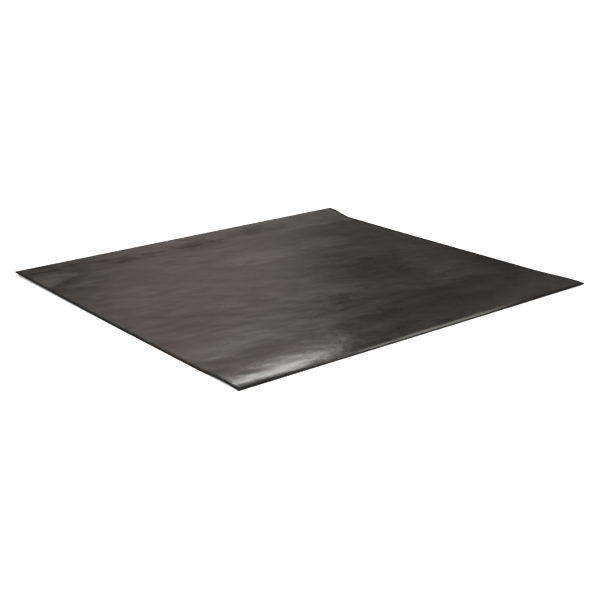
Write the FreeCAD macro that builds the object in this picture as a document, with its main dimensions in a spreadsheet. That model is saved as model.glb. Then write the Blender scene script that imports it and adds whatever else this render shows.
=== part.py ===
import FreeCAD, Part
import os

import Sketcher

# A thin, flexible floor mat: three rubber plies cured together into one sheet.
# Millimetres. X runs along the mat's length, Y across its width from the near
# edge to the far edge, +Z up. The origin is on the floor under the mat's middle.
#
# The sheet is stored rolled up, so it has taken a set: beside the near edge it
# arches off the floor, and towards the far edge it lifts. Each of the mat's two
# ends has its own arch and lift, and the sheet runs straight from end to end.

SIZES = {
    # the mat, laid out
    "mat_length": 1000.0,
    "mat_width": 914.4,
    # the plies
    "backing_thickness": 0.8,
    "core_thickness": 1.6,
    "skin_thickness": 0.8,
    # left end: how far the arch and the lift reach in from their edges, how far in
    # the arch's crest is, and the heights of its crest and of the two edges
    "left_arch_reach": 115.0,
    "left_crest_inset": 45.0,
    "left_crest_height": 2.9,
    "left_near_height": 0.3,
    "left_lift_reach": 410.0,
    "left_far_height": 6.0,
    # right end, the same six
    "right_arch_reach": 130.0,
    "right_crest_inset": 30.0,
    "right_crest_height": 2.9,
    "right_near_height": 1.5,
    "right_lift_reach": 112.0,
    "right_far_height": 14.0,
}

# Each ply, from the floor up: what lies under it, and its own thickness.
PLIES = {
    "grip_backing": ([], "backing_thickness"),
    "cushion_core": (["backing_thickness"], "core_thickness"),
    "wear_skin": (["backing_thickness", "core_thickness"], "skin_thickness"),
}

START, END, CENTRE = 1, 2, 3
ORIGIN = (-1, 1)


def make_sheet(doc):
    """Put every driving dimension in the spreadsheet, under its own alias."""
    sheet = doc.addObject("Spreadsheet::Sheet", "Sizes")
    for row, (alias, value) in enumerate(SIZES.items(), start=1):
        sheet.set("A%d" % row, alias)
        sheet.set("B%d" % row, str(value))
        sheet.setAlias("B%d" % row, alias)
    doc.recompute()


def stacked(layers):
    """The height of a face above the floor, where the mat lies flat: value and expression."""
    cells = ["Sizes." + layer for layer in layers]
    return sum(SIZES[layer] for layer in layers), " + ".join(cells) or "0 mm"


def new_sketch(body, name, role, offset):
    """A sketch on one of the body's own origin planes, moved off it by an expression."""
    sketch = body.newObject("Sketcher::SketchObject", "%s_%s" % (body.Label, name))
    plane = next(item for item in body.Origin.OriginFeatures if item.Role == role)
    sketch.AttachmentSupport = [(plane, "")]
    sketch.MapMode = "FlatFace"
    sketch.setExpression("AttachmentOffset.Base.z", offset)
    return sketch


def join(sketch, kind, first, second):
    """Join an end of one line or arc to an end of another, Coincident or Tangent."""
    sketch.addConstraint(Sketcher.Constraint(kind, *first, *second))


def line_up(sketch, first, second):
    """Put one point straight above another."""
    sketch.addConstraint(Sketcher.Constraint("Vertical", *first, *second))


def dimension(sketch, kind, first, second, value, expression):
    """A distance from one point to another along one axis, driven by the spreadsheet."""
    index = sketch.addConstraint(Sketcher.Constraint(kind, *first, *second, value))
    sketch.setExpression("Constraints[%d]" % index, expression)


def curl_sizes(side, names):
    """The sizes of one end's curl, and the expressions that read them."""
    values = [SIZES["%s_%s" % (side, name)] for name in names]
    cells = ["Sizes.%s_%s" % (side, name) for name in names]
    return dict(zip(names, values)), dict(zip(names, cells))


def arch_line(sketch, side, layers):
    """The line of one face of a ply across the arch beside the near edge.

    An arc over the crest and an arc down to the floor, tangent to each other and
    to the floor. The points only start the sketch off; the constraints place them.
    Returns its end at the cut edge and its end at the flat stretch.
    """
    size, cell = curl_sizes(side, ("arch_reach", "crest_inset", "crest_height", "near_height"))
    height, height_cells = stacked(layers)
    edge = -SIZES["mat_width"] / 2
    slope_run = size["arch_reach"] - size["crest_inset"]

    def at(inset, rise):
        return FreeCAD.Vector(edge + inset, height + rise, 0)

    crest_top = at(size["crest_inset"], size["crest_height"])
    halfway = at(size["crest_inset"] + slope_run / 2, size["crest_height"] / 2)
    foot_middle = at(size["crest_inset"] + slope_run * 3 / 4, size["crest_height"] / 8)
    over, foot, peak = sketch.addGeometry([
        Part.Arc(halfway, crest_top, at(0, size["near_height"])),
        Part.Arc(halfway, foot_middle, at(size["arch_reach"], 0)),
        Part.Point(crest_top),
    ], False)
    sketch.setConstruction(peak, True)

    join(sketch, "Tangent", (over, START), (foot, START))
    sketch.addConstraint(Sketcher.Constraint("PointOnObject", peak, START, over))
    line_up(sketch, (peak, START), (over, CENTRE))
    line_up(sketch, (foot, END), (foot, CENTRE))
    dimension(sketch, "DistanceX", (over, END), ORIGIN, -edge, "Sizes.mat_width / 2")
    dimension(sketch, "DistanceY", ORIGIN, (foot, END), height, height_cells)
    for kind, first, second, name in (
        ("DistanceX", (over, END), (peak, START), "crest_inset"),
        ("DistanceX", (over, END), (foot, END), "arch_reach"),
        ("DistanceY", (foot, END), (over, END), "near_height"),
        ("DistanceY", (foot, END), (peak, START), "crest_height"),
    ):
        dimension(sketch, kind, first, second, size[name], cell[name])
    return (over, END), (foot, END)


def lift_line(sketch, side, layers):
    """The line of one face of a ply across the lift towards the far edge.

    An arc up off the floor and an arc of the same radius that levels off at the
    edge. Returns its end at the cut edge and its end at the flat stretch.
    """
    size, cell = curl_sizes(side, ("lift_reach", "far_height"))
    height, height_cells = stacked(layers)
    edge = SIZES["mat_width"] / 2

    def at(share_of_reach, share_of_height):
        inset = size["lift_reach"] * (1 - share_of_reach)
        return FreeCAD.Vector(edge - inset, height + size["far_height"] * share_of_height, 0)

    rise, lip = sketch.addGeometry([
        Part.Arc(at(0, 0), at(1 / 4, 1 / 8), at(1 / 2, 1 / 2)),
        Part.Arc(at(1, 1), at(3 / 4, 7 / 8), at(1 / 2, 1 / 2)),
    ], False)

    join(sketch, "Tangent", (rise, END), (lip, END))
    sketch.addConstraint(Sketcher.Constraint("Equal", rise, lip))
    line_up(sketch, (rise, START), (rise, CENTRE))
    line_up(sketch, (lip, START), (lip, CENTRE))
    dimension(sketch, "DistanceX", ORIGIN, (lip, START), edge, "Sizes.mat_width / 2")
    dimension(sketch, "DistanceY", ORIGIN, (rise, START), height, height_cells)
    for kind, name in (("DistanceX", "lift_reach"), ("DistanceY", "far_height")):
        dimension(sketch, kind, (rise, START), (lip, START), size[name], cell[name])
    return (lip, START), (rise, START)


def draw_section(body, name, side, face_line, under, thickness):
    """Sketch a ply's section through a curl, at the left or the right end of the mat."""
    sign = "-" if side == "left" else ""
    sketch = new_sketch(body, "%s_%s" % (side, name), "YZ_Plane", sign + "Sizes.mat_length / 2")
    lower_ends = face_line(sketch, side, under)
    upper_ends = face_line(sketch, side, under + [thickness])
    for lower, upper in zip(lower_ends, upper_ends):
        across = Part.LineSegment(sketch.getPoint(*lower), sketch.getPoint(*upper))
        closing = sketch.addGeometry(across, False)
        join(sketch, "Coincident", (closing, START), lower)
        join(sketch, "Coincident", (closing, END), upper)
    return sketch


def draw_flat_outline(body, under):
    """Sketch, from above, the stretch of a ply that lies flat: four straight sides."""
    _, height_cells = stacked(under)
    sketch = new_sketch(body, "flat_outline", "XY_Plane", height_cells)
    length, width = SIZES["mat_length"], SIZES["mat_width"]
    corners = []
    for side, x in (("left", -length / 2), ("right", length / 2)):
        corners.append(FreeCAD.Vector(x, SIZES[side + "_arch_reach"] - width / 2, 0))
        corners.append(FreeCAD.Vector(x, width / 2 - SIZES[side + "_lift_reach"], 0))
    left_near, left_far, right_near, right_far = corners
    near, right, far, left = sketch.addGeometry([
        Part.LineSegment(left_near, right_near),
        Part.LineSegment(right_near, right_far),
        Part.LineSegment(right_far, left_far),
        Part.LineSegment(left_far, left_near),
    ], False)
    for first, second in ((near, right), (right, far), (far, left), (left, near)):
        join(sketch, "Coincident", (first, END), (second, START))
    sketch.addConstraint(Sketcher.Constraint("Vertical", left))
    sketch.addConstraint(Sketcher.Constraint("Vertical", right))
    half_length = "Sizes.mat_length / 2"
    dimension(sketch, "DistanceX", (near, START), ORIGIN, length / 2, half_length)
    dimension(sketch, "DistanceX", ORIGIN, (near, END), length / 2, half_length)
    for side, near_corner, far_corner in (
        ("left", (near, START), (far, END)),
        ("right", (near, END), (far, START)),
    ):
        arch, lift = SIZES[side + "_arch_reach"], SIZES[side + "_lift_reach"]
        arch_cell, lift_cell = "Sizes.%s_arch_reach" % side, "Sizes.%s_lift_reach" % side
        dimension(sketch, "DistanceY", near_corner, ORIGIN, width / 2 - arch,
                  "Sizes.mat_width / 2 - " + arch_cell)
        dimension(sketch, "DistanceY", near_corner, far_corner, width - arch - lift,
                  "Sizes.mat_width - %s - %s" % (arch_cell, lift_cell))
    return sketch


def make_ply(doc, name, under, thickness):
    """A ply: its flat stretch, and a curl ruled from end to end along each long edge."""
    body = doc.addObject("PartDesign::Body", name)
    body.Label = name
    body.Placement = FreeCAD.Placement()
    flat = body.newObject("PartDesign::Pad", name + "_flat")
    flat.Profile = draw_flat_outline(body, under)
    flat.setExpression("Length", "Sizes." + thickness)
    doc.recompute()
    for curl, face_line in (("arch", arch_line), ("lift", lift_line)):
        left = draw_section(body, curl, "left", face_line, under, thickness)
        right = draw_section(body, curl, "right", face_line, under, thickness)
        doc.recompute()
        loft = body.newObject("PartDesign::AdditiveLoft", "%s_%s" % (name, curl))
        loft.Profile = left
        loft.Sections = [right]
        loft.Ruled = True
        doc.recompute()
    return body


def check(doc, bodies):
    """Stop if anything failed to compute, or a ply isn't one valid solid."""
    failed = [item.Label for item in doc.Objects if {"Invalid", "Error"} & set(item.State)]
    if failed:
        raise RuntimeError("failed to compute: " + ", ".join(failed))
    for item in doc.Objects:
        if item.TypeId == "Sketcher::SketchObject" and not item.FullyConstrained:
            raise RuntimeError(item.Label + " is not fully constrained")
    for body in bodies:
        if body.Shape.isNull() or not body.Shape.isValid() or len(body.Shape.Solids) != 1:
            raise RuntimeError(body.Label + " is not one valid solid")


def main():
    doc = FreeCAD.newDocument("floor_mat")
    make_sheet(doc)
    bodies = [make_ply(doc, name, *layers) for name, layers in PLIES.items()]
    doc.recompute()
    check(doc, bodies)
    os.makedirs("parts", exist_ok=True)
    for body in bodies:
        body.Shape.exportStep(os.path.join("parts", body.Label + ".step"))
        box = body.Shape.BoundBox
        print("%-14s volume %.0f mm3, box %.2f x %.2f x %.2f mm, z %.3f to %.3f" % (
            body.Label, body.Shape.Volume, box.XLength, box.YLength, box.ZLength, box.ZMin, box.ZMax))


main()
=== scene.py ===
import math
from types import SimpleNamespace

import bpy
import numpy as np
from bpy.props import FloatProperty, FloatVectorProperty, PointerProperty
from mathutils import Matrix, Quaternion, Vector


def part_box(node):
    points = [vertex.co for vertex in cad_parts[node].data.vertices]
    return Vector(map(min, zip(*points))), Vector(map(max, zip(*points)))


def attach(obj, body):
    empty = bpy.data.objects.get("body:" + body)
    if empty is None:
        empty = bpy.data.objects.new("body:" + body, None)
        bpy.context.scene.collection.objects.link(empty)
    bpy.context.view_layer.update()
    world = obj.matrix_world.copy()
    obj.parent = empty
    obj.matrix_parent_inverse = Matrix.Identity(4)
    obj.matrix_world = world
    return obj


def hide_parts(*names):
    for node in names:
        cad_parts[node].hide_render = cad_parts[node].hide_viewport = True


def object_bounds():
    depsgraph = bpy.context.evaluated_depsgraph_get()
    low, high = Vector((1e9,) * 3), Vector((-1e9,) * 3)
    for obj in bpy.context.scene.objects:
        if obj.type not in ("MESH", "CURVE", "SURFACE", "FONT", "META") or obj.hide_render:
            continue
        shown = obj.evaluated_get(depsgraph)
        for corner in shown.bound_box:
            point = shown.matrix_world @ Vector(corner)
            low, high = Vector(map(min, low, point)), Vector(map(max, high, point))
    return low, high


bl_info = {
    "name": "Rubber Floor Mat",
    "version": (1, 0, 0),
    "blender": (4, 5, 0),
    "location": "3D Viewport > Sidebar > Floor Mat",
    "description": "A thin three-ply rubber floor mat, still curled from its roll",
    "category": "Object",
}

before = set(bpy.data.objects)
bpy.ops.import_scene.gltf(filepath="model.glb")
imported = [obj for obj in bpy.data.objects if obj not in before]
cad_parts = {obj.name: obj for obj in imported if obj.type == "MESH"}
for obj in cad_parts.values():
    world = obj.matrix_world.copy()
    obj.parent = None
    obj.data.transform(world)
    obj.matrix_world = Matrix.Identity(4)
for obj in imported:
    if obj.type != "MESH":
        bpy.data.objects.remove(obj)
CAD_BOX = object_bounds()
MAT_LOW, MAT_HIGH = CAD_BOX
HALF_LENGTH = (MAT_HIGH.x - MAT_LOW.x) / 2
HALF_WIDTH = (MAT_HIGH.y - MAT_LOW.y) / 2

# Heights of the faces between the plies, where the mat lies flat.
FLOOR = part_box("grip_backing")[0].z
UNDER_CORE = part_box("cushion_core")[0].z
UNDER_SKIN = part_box("wear_skin")[0].z
MAT_TOP = UNDER_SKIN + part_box("wear_skin")[1].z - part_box("cushion_core")[1].z

MILLIMETRE = 0.001

# Half axes of the small round where a ply's cut edge meets its face, in and down.
CUT_ROLL = (0.08 * MILLIMETRE, 0.08 * MILLIMETRE)

# Points along and across a ply's faces, for the two plies that show only their edges and for the skin.
HIDDEN_GRID = (90, 150)
SKIN_GRID = (150, 250)

# How much closer together those points are beside the edges than in the middle, along and across
# the mat: 1 is twice as close.
CROWDING = (0.6, 2.5)

# The sines that make the ripples: wavelength in metres, phase, how far the phase drifts from the
# left end to the right, and share of the height. The shares add up to 1.
RIPPLES = (
    (0.236, 0.4, 0.9, 0.34),
    (0.151, 2.1, -1.3, 0.28),
    (0.098, 4.0, 2.2, 0.22),
    (0.067, 1.2, -3.1, 0.16),
)

# How many times paler worn or torn rubber is than its own colour.
WORN = 1.9


# ---------------------------------------------------------------- settings


def length(name, description, default):
    """A length that a user can change, in metres."""
    return FloatProperty(
        name=name, description=description, default=default, unit="LENGTH", precision=5, min=0.0)


def colour(name, description, default):
    """A colour that a user can change."""
    return FloatVectorProperty(
        name=name, description=description, default=default, subtype="COLOR", size=3, min=0.0, max=1.0)


def angle(name, description, degrees):
    """An angle that a user can change."""
    return FloatProperty(
        name=name,
        description=description,
        default=math.radians(degrees),
        subtype="ANGLE",
        unit="ROTATION",
    )


def plain(name, description, default):
    """A plain number that a user can change."""
    return FloatProperty(name=name, description=description, default=default, min=0.0)


class CurlSettings(bpy.types.PropertyGroup):
    """How the sheet lies: the arch along its near edge, the lift of its far edge, and its ripples."""

    arch_left: length("Arch, left", "Height of the arch at the left end", 3.2 * MILLIMETRE)
    arch_middle: length("Arch, middle", "Height of the arch halfway along", 4.6 * MILLIMETRE)
    arch_right: length("Arch, right", "Height of the arch at the right end", 2.8 * MILLIMETRE)
    crest_left: length("Crest, left", "How far in the crest stands, left", 60.0 * MILLIMETRE)
    crest_middle: length("Crest, middle", "How far in the crest stands, halfway", 124.0 * MILLIMETRE)
    crest_right: length("Crest, right", "How far in the crest stands, right", 36.0 * MILLIMETRE)
    near_corner: length("Near right corner", "Height of the near right corner", 1.4 * MILLIMETRE)
    ramp_left: length("Ramp, left", "Rise of the long far slope, left", 6.0 * MILLIMETRE)
    ramp_right: length("Ramp, right", "Rise of the long far slope, right", 2.0 * MILLIMETRE)
    kick: length("Far corner kick", "Extra steep rise of the far right corner", 11.4 * MILLIMETRE)
    ripple: length("Ripple", "Height of the faint ripples that the roll left", 0.22 * MILLIMETRE)


class SkinSettings(bpy.types.PropertyGroup):
    """The smooth top ply."""

    rubber: colour("Rubber", "Colour of clean rubber", (0.0100, 0.0094, 0.0082))
    warm_rubber: colour("Warm rubber", "Colour of the browner clouds in it", (0.0120, 0.0098, 0.0086))
    # Painted highlight: the pale colour below is laid along the near lip, where the rolled edge catches
    # the light.
    lip_highlight_colour: colour("Scuff", "Colour of the rubbed near lip", (0.150, 0.150, 0.135))
    bloom: colour("Bloom", "Colour of the dry wax bloom", (0.0560, 0.0520, 0.0480))
    # The cut edge's colour is its own matt black, made darker still by painted shade on the sides.
    cut: colour("Cut rubber", "Colour of the matt cut edge", (0.0040, 0.0039, 0.0038))
    gloss: plain("Roughness", "Roughness of clean rubber", 0.18)
    dryness: plain("Dryness", "How much bloom there is between its patches", 0.34)
    cloudiness: plain("Clouds", "How strongly the bloom gathers in clouds", 0.50)
    wispiness: plain("Wisps", "How strongly the bloom is drawn out in wisps", 1.6)
    streakiness: plain("Streaks", "How strongly the bloom follows long streaks", 0.20)
    mottling: plain("Mottle", "How strongly the bloom is mottled", 0.40)
    arris_width: length("Arris width", "How far in the top edge is rolled down", 0.9 * MILLIMETRE)
    arris_depth: length("Arris depth", "How far down the top edge is rolled", 0.30 * MILLIMETRE)


class CoreSettings(bpy.types.PropertyGroup):
    """The sponge ply, seen only along the cut edge."""

    rubber: colour("Rubber", "Colour of the cell walls", (0.0060, 0.0059, 0.0057))
    cell: length("Cell", "Width of a cell", 0.30 * MILLIMETRE)
    recess: length("Recess", "How far the cut sponge draws back", 0.12 * MILLIMETRE)


class BackingSettings(bpy.types.PropertyGroup):
    """The ply that lies on the floor."""

    rubber: colour("Rubber", "Colour of the rubber", (0.0080, 0.0078, 0.0076))
    weave: length("Weave", "Pitch of the cloth mark pressed into it", 1.1 * MILLIMETRE)


class StageSettings(bpy.types.PropertyGroup):
    """Floor, light and camera."""

    floor: colour("Floor", "Colour of the floor", (0.93, 0.93, 0.925))
    glow: plain("Floor glow", "Brightness of the light that comes up through the floor", 0.30)
    ceiling: plain("Ceiling", "Brightness of the ceiling of light", 2.05)
    dusk: plain("Dim walls", "Brightness of the walls between the panels", 0.078)
    panel: plain("Panels", "Brightness of the tall panels round the walls", 0.50)
    panel_tint: colour("Panel tint", "Colour of the panels' light", (1.0, 0.84, 0.78))
    backdrop: plain("Backdrop", "Brightness of the backdrop past the floor's edge", 1.12)
    softbox: plain("Softboxes", "Brightness of each softbox", 12.0)
    softbox_width: length("Softbox width", "Width of each softbox", 0.52)
    softbox_height: length("Softbox height", "Height of each softbox", 0.185)
    azimuth: angle("Azimuth", "Direction of view, 0 along +Y", -39.14)
    elevation: angle("Elevation", "How far the camera looks down", 18.34)
    distance: length("Distance", "Camera to the point it looks at", 2.397)
    lens: plain("Lens", "Focal length in millimetres on a 36 mm sensor", 64.1)


class MatSettings(bpy.types.PropertyGroup):
    """Everything that can be changed."""

    curl: PointerProperty(type=CurlSettings)
    skin: PointerProperty(type=SkinSettings)
    core: PointerProperty(type=CoreSettings)
    backing: PointerProperty(type=BackingSettings)
    stage: PointerProperty(type=StageSettings)


# ------------------------------------------------------------------- shape


def ease(value, start, end):
    """0 up to start, 1 from end on, and 3v^2 - 2v^3 between, v being the share of the way."""
    share = np.clip((value - start) / (end - start), 0, 1)
    return share * share * (3 - 2 * share)


def soft_ramp(distance, reach, softness):
    """Close to 0 before the start and 1 at reach, with a soft bend between.

    It is (d + sqrt(d^2 + softness^2)) / 2, d being the distance past the start,
    over the same thing at reach.
    """
    def bend(value):
        return (value + np.sqrt(value * value + softness * softness)) / 2
    return bend(distance) / bend(reach)


def through(along, left, middle, right):
    """A parabola along the mat that takes three values, at its left end, halfway and at its right end."""
    linear = 4 * middle - 3 * left - right
    square = 2 * left - 4 * middle + 2 * right
    return left + linear * along + square * along ** 2


def arch_height(curl, along, inset):
    """The arch beside the near edge.

    From the edge to its crest it is c - (c - e)(1 - s/d)^3, with s the distance in
    from the edge, c the crest's height, e the edge's and d the crest's own distance
    in. Past the crest it eases down to the floor. Going along, the crest moves in
    from the left end and then back out to the right one.
    """
    height = through(along, curl.arch_left, curl.arch_middle, curl.arch_right)
    inwards = ease(along, 0.05, 0.47)
    outwards = ease(along, 0.55, 0.95)
    crest = (
        curl.crest_left
        + (curl.crest_middle - curl.crest_left) * inwards
        + (curl.crest_right - curl.crest_middle) * outwards
    )
    short_fall = 0.072
    long_fall = 0.110
    fall = short_fall + (long_fall - short_fall) * ease(along, 0.0, 0.12)
    edge = curl.near_corner * ease(along, 0.6, 1.0)
    front = height - (height - edge) * (np.clip(crest - inset, 0, None) / crest) ** 3
    back = 1 - ease(inset, crest, crest + fall)
    return front * back


def lift_height(curl, along, inset):
    """The lift towards the far edge.

    A long soft ramp, higher on the left, and on the right a steep S beside the
    edge that grows from nothing at the left end.
    """
    start_left = 0.470
    start_right = 0.580
    softness = 0.060
    kick_start = 0.822
    kick_end = 0.908
    ramp_start = start_left + (start_right - start_left) * along
    ramp = soft_ramp(inset - ramp_start, 2 * HALF_WIDTH - ramp_start, softness)
    ramp_rise = curl.ramp_left + (curl.ramp_right - curl.ramp_left) * along
    kick = curl.kick * along * ease(inset, kick_start, kick_end)
    return ramp_rise * ramp + kick


def ripple_height(curl, along, inset):
    """Faint ripples along the mat: half the ripple height times 1 plus a sum of sines across the mat."""
    waves = np.zeros_like(inset)
    for wavelength, phase, drift, share in RIPPLES:
        waves += share * np.sin(2 * math.pi * inset / wavelength + phase + drift * along)
    return curl.ripple * (1 + waves) / 2


def underside_height(curl, x, y):
    """Height of the sheet's underside above the floor: arch, lift and ripples added up."""
    along = (x + HALF_LENGTH) / (2 * HALF_LENGTH)
    inset = y + HALF_WIDTH
    return (
        FLOOR
        + arch_height(curl, along, inset)
        + lift_height(curl, along, inset)
        + ripple_height(curl, along, inset)
    )


def laid(curl, x, y, level):
    """Points of the curled sheet: over (x, y) on the underside, then level up the sheet's own normal.

    The normal is (-dh/dx, -dh/dy, 1) made one long, h being the underside's height.
    """
    step = 0.0005
    height = underside_height(curl, x, y)
    slope_x = (underside_height(curl, x + step, y) - underside_height(curl, x - step, y)) / (2 * step)
    slope_y = (underside_height(curl, x, y + step) - underside_height(curl, x, y - step)) / (2 * step)
    tilt = np.sqrt(slope_x ** 2 + slope_y ** 2 + 1)
    return np.stack(
        [x - slope_x / tilt * level, y - slope_y / tilt * level, height + level / tilt], axis=-1)


def stations(half, roll, count, crowding):
    """Places across the mat from -half to half, and how far each has dropped round the rolled edge.

    Between the two rolled edges the spacing shrinks towards both ends, by the
    integral of 1 + crowding times an exponential fall from each end. Over each
    edge the places follow a quarter of an ellipse, roll being its two half axes.
    """
    across, down = roll
    samples = 2001
    fall = 0.07
    roll_steps = 6
    even = np.linspace(-half, half, samples)
    density = 1 + crowding * (np.exp((-half - even) / fall) + np.exp((even - half) / fall))
    total = np.concatenate([[0], np.cumsum((density[1:] + density[:-1]) / 2)])
    inner = np.interp(np.linspace(0, total[-1], count), total, even) * (half - across) / half
    turn = np.linspace(0, math.pi / 2, roll_steps + 1)[1:]
    out = half - across + across * np.sin(turn)
    drop = down * (1 - np.cos(turn))
    places = np.concatenate([-out[::-1], inner, out])
    drops = np.concatenate([drop[::-1], np.zeros(count), drop])
    return places, drops


def grid_faces(first, rows, columns):
    """Quads over a grid of points numbered row by row from first."""
    index = first + np.arange(rows * columns).reshape(rows, columns)
    return np.stack(
        [index[:-1, :-1], index[1:, :-1], index[1:, 1:], index[:-1, 1:]], axis=-1).reshape(-1, 4)


def border(index):
    """The numbers round a grid's border, once each, anticlockwise seen from above."""
    return np.concatenate([index[:-1, 0], index[-1, :-1], index[:0:-1, -1], index[0, :0:-1]])


def ply_mesh(name, curl, lower, upper, rolls, counts, recess=0.0):
    """One ply as a closed surface between two levels of the sheet, its edges rolled a little.

    The upper and the lower face are grids with the same counts and the same
    outline. Each drops or rises by the larger of the two edge drops, which mitres
    the corners. Rows of points round the cut edge join them, drawn in by recess
    times a sine over the ply's thickness. rolls holds the rolled edge's two half axes, above and below,
    and counts the points along and across a face. The attribute "cut" is 1 on the
    cut edge and 0 on the faces.
    """
    faces = []
    points = []
    for level, roll, away in ((upper, rolls[0], -1), (lower, rolls[1], 1)):
        places_x, drop_x = stations(HALF_LENGTH, roll, counts[0], CROWDING[0])
        places_y, drop_y = stations(HALF_WIDTH, roll, counts[1], CROWDING[1])
        x, y = np.meshgrid(places_x, places_y, indexing="ij")
        drop = np.maximum(drop_x[:, None], drop_y[None, :])
        points.append(laid(curl, x, y, level + away * drop).reshape(-1, 3))
        face = grid_faces(sum(map(len, points[:-1])), *x.shape)
        faces.append(face if away < 0 else face[:, ::-1])

    rim = border(np.arange(x.size).reshape(x.shape))
    rim_x = x.ravel()[rim]
    rim_y = y.ravel()[rim]
    side_rows = 5
    share = np.linspace(0, 1, side_rows + 2)[1:-1][:, None]
    side_top = upper - rolls[0][1]
    side_foot = lower + rolls[1][1]
    drawn = recess * np.sin(math.pi * share)
    side = laid(
        curl,
        rim_x * (1 - drawn / HALF_LENGTH),
        rim_y * (1 - drawn / HALF_WIDTH),
        side_top + share * (side_foot - side_top),
    )
    first_side = 2 * x.size
    levels = [rim, *(first_side + np.arange(side_rows * len(rim)).reshape(side_rows, -1)), x.size + rim]
    for above, below in zip(levels[:-1], levels[1:]):
        faces.append(np.stack([above, below, np.roll(below, -1), np.roll(above, -1)], axis=-1))
    points = np.concatenate([*points, side.reshape(-1, 3)])

    mesh = bpy.data.meshes.new(name)
    mesh.from_pydata(points.tolist(), [], np.concatenate(faces).tolist())
    cut = np.zeros(len(points), dtype=np.float32)
    cut[first_side:] = 1
    mesh.attributes.new("cut", "FLOAT", "POINT").data.foreach_set("value", cut)
    mesh.shade_smooth()
    mesh.update()
    piece = bpy.data.objects.new(name, mesh)
    bpy.context.scene.collection.objects.link(piece)
    return piece


# --------------------------------------------------------------- materials


class Value:
    """A socket that carries a number, with the arithmetic that these materials use."""

    def __init__(self, tree, socket):
        self.tree = tree
        self.socket = socket

    def _math(self, operation, *operands):
        node = self.tree.add("ShaderNodeMath", {"operation": operation}, dict(enumerate(operands)))
        return Value(self.tree, node.outputs[0])

    def __add__(self, other):
        return self._math("ADD", self, other)

    def __sub__(self, other):
        return self._math("SUBTRACT", self, other)

    def __mul__(self, other):
        return self._math("MULTIPLY", self, other)

    def __truediv__(self, other):
        return self._math("DIVIDE", self, other)

    def __radd__(self, other):
        return self._math("ADD", other, self)

    def __rsub__(self, other):
        return self._math("SUBTRACT", other, self)

    def __rmul__(self, other):
        return self._math("MULTIPLY", other, self)

    def apply(self, operation, *others):
        """Any other operation of a Math node, on this value and then the others."""
        return self._math(operation, self, *others)

    def clamped(self):
        """The value, kept from 0 to 1."""
        node = self.tree.add("ShaderNodeClamp", {}, {"Value": self})
        return Value(self.tree, node.outputs[0])

    def between(self, low, high):
        """0 up to low, 1 from high on and a smooth step between; low may be the larger."""
        node = self.tree.add(
            "ShaderNodeMapRange",
            {"interpolation_type": "SMOOTHSTEP"},
            {"Value": self, "From Min": low, "From Max": high},
        )
        return Value(self.tree, node.outputs["Result"])


class Tree:
    """A node tree being built."""

    def __init__(self, node_tree):
        self.nodes = node_tree.nodes
        self.links = node_tree.links
        self.nodes.clear()

    def add(self, kind, settings=None, inputs=None):
        """A node of that type: its settings first, then a value or a link for each named socket."""
        node = self.nodes.new(kind)
        for name, value in (settings or {}).items():
            setattr(node, name, value)
        for name, value in (inputs or {}).items():
            socket = node.inputs[name]
            if isinstance(value, Value):
                value = value.socket
            if isinstance(value, bpy.types.NodeSocket):
                self.links.new(value, socket)
            else:
                socket.default_value = value
        return node

    def value(self, node, output=0):
        """A node's output as a number that can be reckoned with."""
        return Value(self, node.outputs[output])

    def mixed(self, factor, first, second):
        """A colour between two colours. Their sockets' names aren't their own, so they go by number."""
        first_socket = 6
        second_socket = 7
        result_socket = 2
        node = self.add(
            "ShaderNodeMix",
            {"data_type": "RGBA"},
            {"Factor": factor, first_socket: first, second_socket: second},
        )
        return node.outputs[result_socket]

    def stretched(self, coordinates, scale, degrees):
        """The coordinates turned about Z and then scaled along each axis."""
        turned = self.add(
            "ShaderNodeMapping", {}, {"Vector": coordinates, "Rotation": (0, 0, math.radians(degrees))})
        scaled = self.add(
            "ShaderNodeVectorMath", {"operation": "MULTIPLY"}, {0: turned.outputs[0], 1: scale})
        return scaled.outputs[0]

    def noise(self, coordinates, lumps, detail=2.0, roughness=0.5, degrees=0.0, distortion=0.0):
        """Smooth noise from 0 to 1, with so many lumps a metre on each axis, turned about Z."""
        node = self.add(
            "ShaderNodeTexNoise",
            {},
            {
                "Vector": self.stretched(coordinates, lumps, degrees),
                "Scale": 1.0,
                "Detail": detail,
                "Roughness": roughness,
                "Distortion": distortion,
            },
        )
        return self.value(node)

    def bumped(self, height, depth, normal=None):
        """A normal pushed about by a height from 0 to 1 that is depth metres deep."""
        inputs = {"Height": height, "Distance": depth, "Strength": 1.0}
        if normal is not None:
            inputs["Normal"] = normal
        return self.add("ShaderNodeBump", {}, inputs).outputs[0]


# Patches of dry bloom on the skin: centre, reach along and across the mat, and how dry.
# One below 0 is wiped clean.
BLOOM_PATCHES = (
    (0.05, 0.195, 0.16, 0.060, 0.50),
    (0.25, 0.210, 0.10, 0.065, 0.35),
    (-0.02, -0.125, 0.16, 0.045, 0.30),
    (0.42, 0.440, 0.30, 0.120, 0.66),
    (-0.46, 0.350, 0.075, 0.052, 0.60),
    (-0.45, -0.270, 0.130, 0.055, 0.40),
    (-0.27, 0.395, 0.21, 0.065, -0.60),
    (-0.04, 0.385, 0.13, 0.060, -0.35),
    (-0.37, 0.280, 0.14, 0.120, -0.25),
    (-0.16, -0.160, 0.24, 0.140, -0.20),
    (0.25, -0.060, 0.22, 0.120, -0.25),
    (0.38, -0.110, 0.12, 0.090, 0.15),
    (0.20, -0.320, 0.34, 0.110, -0.25),
    (-0.22, -0.335, 0.28, 0.040, -0.30),
    (0.50, -0.170, 0.12, 0.200, -0.35),
)

# Painted shade of shallow dents, as dark matt spots: centre, reach along and across the mat, and how
# strong.
DENT_SHADE_SPOTS = (
    (-0.240, 0.388, 0.130, 0.036, 0.52),
    (-0.030, 0.384, 0.095, 0.036, 0.50),
)


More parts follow.
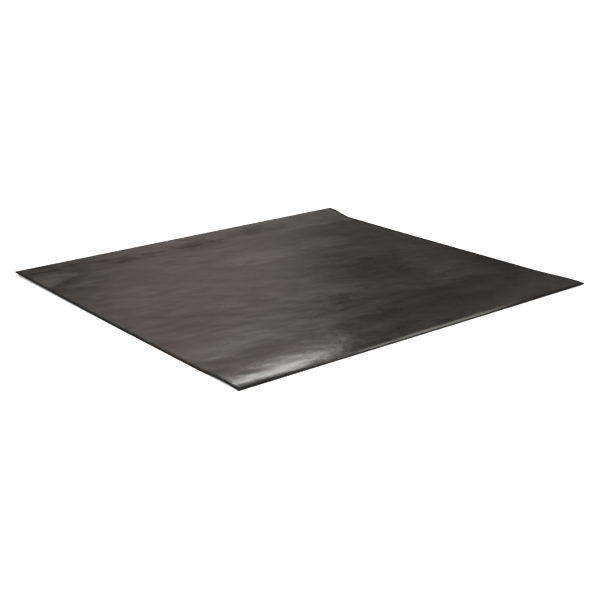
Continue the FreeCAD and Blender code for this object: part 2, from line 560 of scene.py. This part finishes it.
def linear_colour(value, shade=1.0):
    """A setting's colour, made paler or darker by shade, as the four numbers that a socket takes."""
    return (*(channel * shade for channel in value), 1.0)


def new_material(name):
    """A material with an empty tree."""
    material = bpy.data.materials.new(name)
    material.use_nodes = True
    return material, Tree(material.node_tree)


def object_coordinates(tree):
    """The piece's own coordinates, in metres."""
    return tree.add("ShaderNodeTexCoord").outputs["Object"]


def along_and_across(tree, place):
    """The first two of a place's three coordinates."""
    parts = tree.add("ShaderNodeSeparateXYZ", {}, {0: place})
    return tree.value(parts, 0), tree.value(parts, 1)


def surface(tree, colour, roughness, specular, normal=None, glow=0.0):
    """A surface shader, with a normal where the surface has relief and a glow where it gives light."""
    inputs = {
        "Base Color": colour,
        "Roughness": roughness,
        "Specular IOR Level": specular,
        "Emission Strength": glow,
    }
    if normal is not None:
        inputs["Normal"] = normal
    return tree.add("ShaderNodeBsdfPrincipled", {}, inputs).outputs[0]


def finish_material(tree, shader):
    """Join a shader to the material's output."""
    tree.add("ShaderNodeOutputMaterial", {}, {"Surface": shader})


def ellipses(x, y, spots):
    """Soft-edged ellipses added up, each at full strength in its middle and nothing at its reach."""
    total = 0.0
    for centre_x, centre_y, reach_x, reach_y, strength in spots:
        away_x = (x - centre_x) / reach_x
        away_y = (y - centre_y) / reach_y
        total = (away_x * away_x + away_y * away_y).between(1.0, 0.0) * strength + total
    return total


def skin_marks(tree, place):
    """The noises that the skin's finish is made of."""
    return SimpleNamespace(
        clouds=tree.noise(place, (4.2, 6.0, 1.0), detail=4.0, roughness=0.55),
        wisps=tree.noise(
            place, (12.0, 30.0, 1.0), detail=3.0, roughness=0.55, degrees=8.0, distortion=0.25),
        waves=tree.noise(place, (14.0, 30.0, 1.0), detail=0.5, degrees=6.0),
        streaks=tree.noise(place, (2.2, 60.0, 1.0)),
        fine_streaks=tree.noise(place, (7.0, 310.0, 1.0)),
        mottle=tree.noise(place, (60.0, 110.0, 1.0), detail=3.0, roughness=0.6),
        grain=tree.noise(place, (1500.0, 2100.0, 1500.0)),
        peel=tree.noise(place, (42.0, 95.0, 1.0)),
        creases=tree.noise(place, (52.0, 26.0, 1.0), detail=3.0, degrees=24.0),
        rubs=tree.noise(place, (17.0, 42.0, 1.0), detail=1.5, degrees=12.0),
    )


def wandering(marks, x, y):
    """Coordinates shifted a little by the marks, so that a patch drawn on them has a ragged outline."""
    cloud_shift = 0.20
    mottle_shift = 0.05
    wisp_shift = 0.09
    ragged_x = x + (marks.clouds - 0.5) * cloud_shift + (marks.mottle - 0.5) * mottle_shift
    ragged_y = y + (marks.wisps - 0.5) * wisp_shift
    return ragged_x, ragged_y


def handled_share(marks, x, y):
    """How much a place has been handled: 1 over the left of the mat, down to 0.35 over the right."""
    away = x * 0.9 + y * -0.35 + (marks.clouds - 0.5) * 0.5
    return away.between(0.30, -0.25) * 0.65 + 0.35


def bloom_amount(skin, marks, x, y, handled):
    """How much dry wax bloom covers a place, from 0 to 1: its patches, then clouds, wisps and mottle."""
    dry = ellipses(x, y, BLOOM_PATCHES)
    return (
        dry
        + (marks.clouds - 0.5) * skin.cloudiness
        + (marks.wisps - 0.5) * handled * skin.wispiness
        + (marks.streaks - 0.5) * handled * skin.streakiness
        + (marks.mottle - 0.5) * skin.mottling
        + skin.dryness
    ).clamped()


def skin_normal(tree, marks, x, from_near, handled):
    """The skin's relief: orange peel, slow waves, creases over the arch's left, grain and draw lines."""
    on_arch = from_near.between(0.24, 0.06) * x.between(0.0, -0.25)
    normal = None
    for height, millimetres in (
        (marks.peel, 0.09),
        (marks.waves * handled, 1.1),
        (marks.creases * on_arch, 0.50),
        (marks.grain, 0.010),
        (marks.fine_streaks, 0.004),
    ):
        normal = tree.bumped(height, millimetres * MILLIMETRE, normal)
    return normal


def skin_face(tree, skin, marks, x, from_near, handled, bloom, lip_highlight):
    """The glossy face: two close blacks in clouds, bloom over them, and a painted highlight along the
    near lip.
    """
    clean = tree.mixed(
        marks.clouds.between(0.40, 0.60), linear_colour(skin.rubber), linear_colour(skin.warm_rubber))
    rubber = tree.mixed(bloom, clean, linear_colour(skin.bloom))
    roughness = skin.gloss + bloom * 0.05 + (marks.mottle - 0.5) * 0.04 + marks.fine_streaks * 0.02
    return surface(
        tree,
        colour=tree.mixed(lip_highlight, rubber, linear_colour(skin.lip_highlight_colour)),
        roughness=roughness + lip_highlight * 0.25,
        specular=0.36,
        normal=skin_normal(tree, marks, x, from_near, handled),
    )


def skin_edge(tree, skin, place):
    """The matt cut edge, with fine knife marks; its dark colour is the rubber's own matt black, made
    darker still by painted shade.
    """
    knife = tree.noise(place, (260.0, 260.0, 2600.0))
    return surface(
        tree,
        colour=tree.mixed(knife, linear_colour(skin.cut), linear_colour(skin.rubber)),
        roughness=knife * 0.2 + 0.68,
        specular=0.06,
        normal=tree.bumped(knife, 0.03 * MILLIMETRE),
    )


def dark_border_share(marks, x, y, from_near, lip_middle):
    """Painted shade: how far the face turns to the dark matt cut finish beside its edges, in a ragged
    border, for the dark line along the edges; the painted highlight on the lip has none.
    """
    strength = 0.85
    inner = (marks.rubs + 0.5) * (8.0 * MILLIMETRE)
    outer = 2.0 * MILLIMETRE
    right = (HALF_LENGTH - x).between(inner + 5.0 * MILLIMETRE, outer + 3.0 * MILLIMETRE)
    left = (HALF_LENGTH + x).between(inner, outer)
    far = (HALF_WIDTH - y).between(inner + 2.0 * MILLIMETRE, outer) * 0.7
    near = from_near.between(inner, outer) * (1 - lip_middle)
    return left.apply("MAXIMUM", right).apply("MAXIMUM", far.apply("MAXIMUM", near)) * strength


def skin_material(skin):
    """Smooth calendered rubber, with dry bloom in clouds and wisps, fine grain and a matt cut edge."""
    material, tree = new_material("satin_skin_rubber")
    place = object_coordinates(tree)
    x, y = along_and_across(tree, place)
    from_near = y + HALF_WIDTH
    marks = skin_marks(tree, place)
    handled = handled_share(marks, x, y)
    ragged_x, ragged_y = wandering(marks, x, y)
    bloom = bloom_amount(skin, marks, ragged_x, ragged_y, handled)
    # Painted shade: dark matt spots that stand in for the shade of shallow dents.
    dent_shade = ellipses(ragged_x, ragged_y, DENT_SHADE_SPOTS) * marks.rubs.between(0.30, 0.62)

    # Painted highlight: a pale band along the near lip, strongest over the middle of the near edge and
    # broken up by the streaks.
    lip_start = from_near.between(0.5 * MILLIMETRE, 2.0 * MILLIMETRE)
    lip_end = from_near.between(14.0 * MILLIMETRE, 2.0 * MILLIMETRE)
    lip_middle = (x + 0.05).apply("ABSOLUTE").between(0.38, 0.16)
    lip_highlight = lip_start * lip_end * lip_middle * marks.streaks.between(0.26, 0.52)

    cut = tree.value(tree.add("ShaderNodeAttribute", {"attribute_name": "cut"}), "Fac")
    # Painted shade: a dark matt ragged border beside the edges.
    rim = dark_border_share(marks, x, y, from_near, lip_middle)
    face = skin_face(tree, skin, marks, x, from_near, handled, bloom, lip_highlight)
    edge = skin_edge(tree, skin, place)
    # The cut edge takes the dark matt finish, and so do the painted shade of the border and of the dent
    # spots.
    matt = cut.apply("MAXIMUM", rim.apply("MAXIMUM", dent_shade))
    both = tree.add("ShaderNodeMixShader", {}, {0: matt, 1: face, 2: edge})
    finish_material(tree, both.outputs[0])
    return material


def core_material(core):
    """Cut sponge rubber: round closed cells, their hollows darkened by painted shade, with paler torn
    walls between them.
    """
    material, tree = new_material("cut_sponge_rubber")
    place = object_coordinates(tree)
    per_metre = 1 / core.cell
    # Painted shade: how much darker than the rubber the cells' hollows are painted.
    cell_painted_shade = 0.5
    cells = tree.add(
        "ShaderNodeTexVoronoi",
        {"feature": "F1"},
        {"Vector": place, "Scale": per_metre, "Randomness": 0.9},
    )
    wall = tree.value(cells, "Distance").between(0.18, 0.62)
    tear = tree.noise(place, (per_metre / 5, per_metre / 5, per_metre / 2), detail=3.0)
    shader = surface(
        tree,
        colour=tree.mixed(
            wall * tear, linear_colour(core.rubber, cell_painted_shade), linear_colour(core.rubber, WORN)),
        roughness=0.9 - wall * 0.12,
        specular=0.12,
        normal=tree.bumped(wall * 0.8 + tear * 0.4, 0.14 * MILLIMETRE),
    )
    finish_material(tree, shader)
    return material


def backing_material(backing):
    """Rubber cured against cloth: a plain weave's mark, one thread over and one under, slightly worn."""
    material, tree = new_material("cloth_marked_backing")
    place = object_coordinates(tree)
    x, y = along_and_across(tree, place)
    per_thread = math.pi / backing.weave
    weave = (x * per_thread).apply("SINE") * (y * per_thread).apply("SINE") * 0.5 + 0.5
    wear = tree.noise(place, (14.0, 18.0, 14.0), detail=4.0, roughness=0.6)
    shader = surface(
        tree,
        colour=tree.mixed(
            wear.between(0.42, 0.72) * 0.5,
            linear_colour(backing.rubber),
            linear_colour(backing.rubber, WORN),
        ),
        roughness=0.66 + wear * 0.16 - weave * 0.08,
        specular=0.25,
        normal=tree.bumped(weave * wear.between(0.75, 0.35), 0.09 * MILLIMETRE),
    )
    finish_material(tree, shader)
    return material


def floor_material(stage):
    """A pale matt floor, lit a little from underneath as a light table is."""
    material, tree = new_material("pale_studio_floor")
    shader = surface(
        tree, colour=linear_colour(stage.floor), roughness=1.0, specular=0.0, glow=stage.glow)
    finish_material(tree, shader)
    return material


# --------------------------------------------------------------- operators


def settings(context):
    """This scene's settings."""
    return context.scene.floor_mat


def settle(piece, material, node):
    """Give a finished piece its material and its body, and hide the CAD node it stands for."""
    piece.data.materials.append(material)
    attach(piece, "root")
    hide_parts(node)


class FLOORMAT_OT_backing(bpy.types.Operator):
    """Make the ply that lies on the floor"""

    bl_idname = "floormat.backing"
    bl_label = "Grip backing"

    def execute(self, context):
        values = settings(context)
        piece = ply_mesh(
            "mat_backing", values.curl, FLOOR, UNDER_CORE, (CUT_ROLL, CUT_ROLL), HIDDEN_GRID)
        settle(piece, backing_material(values.backing), "grip_backing")
        return {"FINISHED"}


class FLOORMAT_OT_core(bpy.types.Operator):
    """Make the sponge ply in the middle"""

    bl_idname = "floormat.core"
    bl_label = "Cushion core"

    def execute(self, context):
        values = settings(context)
        piece = ply_mesh(
            "mat_core", values.curl, UNDER_CORE, UNDER_SKIN, (CUT_ROLL, CUT_ROLL), HIDDEN_GRID,
            recess=values.core.recess)
        settle(piece, core_material(values.core), "cushion_core")
        return {"FINISHED"}


class FLOORMAT_OT_skin(bpy.types.Operator):
    """Make the smooth top ply"""

    bl_idname = "floormat.skin"
    bl_label = "Wear skin"

    def execute(self, context):
        values = settings(context)
        arris = (values.skin.arris_width, values.skin.arris_depth)
        piece = ply_mesh("mat_skin", values.curl, UNDER_SKIN, MAT_TOP, (arris, CUT_ROLL), SKIN_GRID)
        settle(piece, skin_material(values.skin), "wear_skin")
        return {"FINISHED"}


def make_floor(stage):
    """A wide flat floor under the mat."""
    reach = 30.0
    below = FLOOR - 0.02 * MILLIMETRE
    corners = [
        (-reach, -reach, below),
        (reach, -reach, below),
        (reach, reach, below),
        (-reach, reach, below),
    ]
    mesh = bpy.data.meshes.new("studio_floor")
    mesh.from_pydata(corners, [], [(0, 1, 2, 3)])
    floor = bpy.data.objects.new("studio_floor", mesh)
    bpy.context.scene.collection.objects.link(floor)
    mesh.materials.append(floor_material(stage))


def make_world(stage):
    """A ceiling of soft light over dim walls, with eight tall panels standing round the room.

    Seen straight on, past the floor's edge, the room is a backdrop as pale as the floor.
    """
    world = bpy.data.worlds.new("studio")
    bpy.context.scene.world = world
    world.use_nodes = True
    tree = Tree(world.node_tree)
    towards = tree.add("ShaderNodeTexCoord").outputs["Generated"]
    parts = tree.add("ShaderNodeSeparateXYZ", {}, {0: towards})
    east, north, up = (tree.value(parts, axis) for axis in range(3))
    height = up.apply("ARCSINE")
    bearing = east.apply("ARCTAN2", north)

    panels = 8
    sector = 2 * math.pi / panels
    first_bearing = math.radians(33.5)
    half_width = math.radians(6.0)
    feather = math.radians(1.8)
    panel_foot = math.radians(4)
    panel_full = math.radians(24)
    ceiling_edge = math.radians(38)
    ceiling_full = math.radians(57)
    aside = (bearing - first_bearing).apply("WRAP", sector / 2, -sector / 2).apply("ABSOLUTE")
    across = aside.between(half_width + feather, half_width - feather)
    rising = height.between(panel_foot, panel_full)
    ceiling = height.between(ceiling_edge, ceiling_full)
    panel = across * rising * stage.panel
    brightness = stage.dusk + ceiling * stage.ceiling + panel
    white = (1.0, 1.0, 1.0, 1.0)
    tint = tree.mixed(panel / brightness, white, linear_colour(stage.panel_tint))
    room = tree.add("ShaderNodeBackground", {}, {"Color": tint, "Strength": brightness})
    backdrop = tree.add(
        "ShaderNodeBackground", {}, {"Color": linear_colour(stage.floor), "Strength": stage.backdrop})
    seen = tree.add("ShaderNodeLightPath").outputs["Is Camera Ray"]
    both = tree.add("ShaderNodeMixShader", {}, {0: seen, 1: room.outputs[0], 2: backdrop.outputs[0]})
    tree.add("ShaderNodeOutputWorld", {}, {"Surface": both.outputs[0]})


def make_softboxes(stage):
    """Four softboxes round the mat, each aimed at the far side of its middle and rolled a little."""
    area = stage.softbox_width * stage.softbox_height
    place = Vector((1.06, 1.36, 1.28))
    target = Vector((-0.40, -0.43, 0.0))
    roll = Quaternion((0, 0, 1), math.radians(14))
    for quarter in range(4):
        turn = Matrix.Rotation(quarter * math.pi / 2, 4, "Z")
        light = bpy.data.lights.new("softbox", "AREA")
        light.shape = "RECTANGLE"
        light.size = stage.softbox_width
        light.size_y = stage.softbox_height
        light.energy = stage.softbox * math.pi * area
        softbox = bpy.data.objects.new("softbox", light)
        softbox.location = turn @ place
        softbox.rotation_mode = "QUATERNION"
        level = (turn @ (target - place)).to_track_quat("-Z", "Y")
        softbox.rotation_quaternion = level @ roll
        softbox.visible_camera = False
        bpy.context.scene.collection.objects.link(softbox)


def make_camera(stage):
    """The camera, aimed at a point a little in front of the mat's middle."""
    aim = Vector((-0.0878, -0.1247, FLOOR))
    flat = math.cos(stage.elevation)
    back = Vector((
        math.sin(stage.azimuth) * flat,
        -math.cos(stage.azimuth) * flat,
        math.sin(stage.elevation),
    ))
    data = bpy.data.cameras.new("camera")
    data.sensor_width = 36.0
    data.lens = stage.lens
    data.clip_end = 100.0
    camera = bpy.data.objects.new("camera", data)
    camera.location = aim + back * stage.distance
    camera.rotation_mode = "QUATERNION"
    camera.rotation_quaternion = (-back).to_track_quat("-Z", "Y")
    bpy.context.scene.collection.objects.link(camera)
    bpy.context.scene.camera = camera


class FLOORMAT_OT_stage(bpy.types.Operator):
    """Make the floor, the light and the camera"""

    bl_idname = "floormat.stage"
    bl_label = "Stage"

    def execute(self, context):
        stage = settings(context).stage
        make_floor(stage)
        make_world(stage)
        make_softboxes(stage)
        make_camera(stage)
        context.scene.view_settings.view_transform = "Standard"
        return {"FINISHED"}


class FLOORMAT_PT_sidebar(bpy.types.Panel):
    """The mat's operators and settings in the sidebar"""

    bl_label = "Floor Mat"
    bl_space_type = "VIEW_3D"
    bl_region_type = "UI"
    bl_category = "Floor Mat"

    def draw(self, context):
        layout = self.layout
        for operator in OPERATORS:
            layout.operator(operator.bl_idname)
        values = settings(context)
        for part in ("curl", "skin", "core", "backing", "stage"):
            box = layout.box()
            box.label(text=part.capitalize())
            group = getattr(values, part)
            for name in group.__annotations__:
                box.prop(group, name)


OPERATORS = (FLOORMAT_OT_backing, FLOORMAT_OT_core, FLOORMAT_OT_skin, FLOORMAT_OT_stage)
CLASSES = (
    CurlSettings,
    SkinSettings,
    CoreSettings,
    BackingSettings,
    StageSettings,
    MatSettings,
    *OPERATORS,
    FLOORMAT_PT_sidebar,
)


def register():
    """Register every class, and hang the settings on the scene."""
    for item in CLASSES:
        bpy.utils.register_class(item)
    bpy.types.Scene.floor_mat = PointerProperty(type=MatSettings)


def unregister():
    """Undo register."""
    del bpy.types.Scene.floor_mat
    for item in reversed(CLASSES):
        bpy.utils.unregister_class(item)


def main():
    """Make the mat and its stage."""
    register()
    bpy.ops.floormat.backing()
    bpy.ops.floormat.core()
    bpy.ops.floormat.skin()
    bpy.ops.floormat.stage()


if __name__ == "__main__":
    main()
